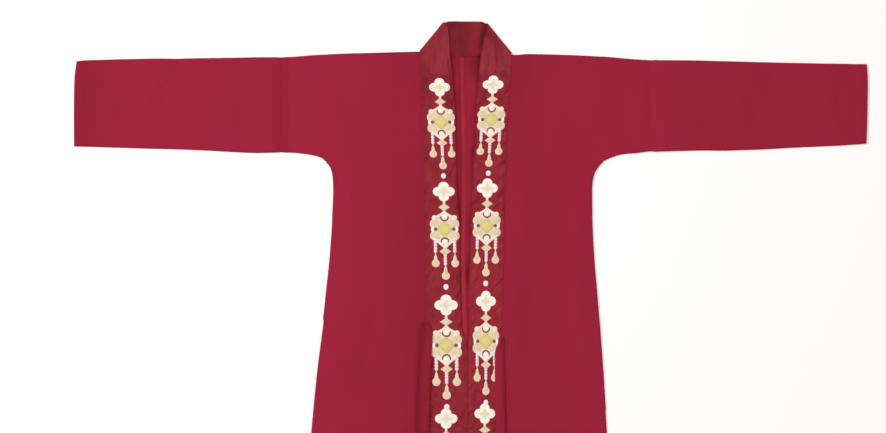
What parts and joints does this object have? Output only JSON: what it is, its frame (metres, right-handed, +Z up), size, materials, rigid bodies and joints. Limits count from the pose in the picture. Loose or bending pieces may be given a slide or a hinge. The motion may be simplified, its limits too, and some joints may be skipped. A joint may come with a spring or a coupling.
{
  "type": "hanfu robe",
  "caption": "Open-front red robe with narrow sleeves, a stand-up collar band with embroidered hanging ornaments, and front ties, laid flat on its back.",
  "frame": {"origin": "centre of the robe's bounding box in plan, on the surface it lies on", "axes": "+X across the sleeves, towards the right-hand cuff as seen from above; +Y from the hem towards the collar; +Z up out of the surface, towards the robe's front"},
  "size_m": [1.6513, 1.252, 0.0072],
  "materials": {
    "body_cloth": "matte fine woven cloth, cherry red",
    "band_satin": "soft satin, brownish red, with pale ivory and yellow-green embroidery",
    "seam_tape": "narrow orange-red bound seam allowance"
  },
  "bodies": {
    "root": {"body_left": "body_cloth", "body_right": "body_cloth", "sleeve_left": "body_cloth", "sleeve_right": "body_cloth", "collar_band_left": "band_satin", "collar_band_right": "band_satin", "tie_left": "body_cloth", "tie_right": "body_cloth", "centre_back_tape": "seam_tape"}
  },
  "joints": []
}
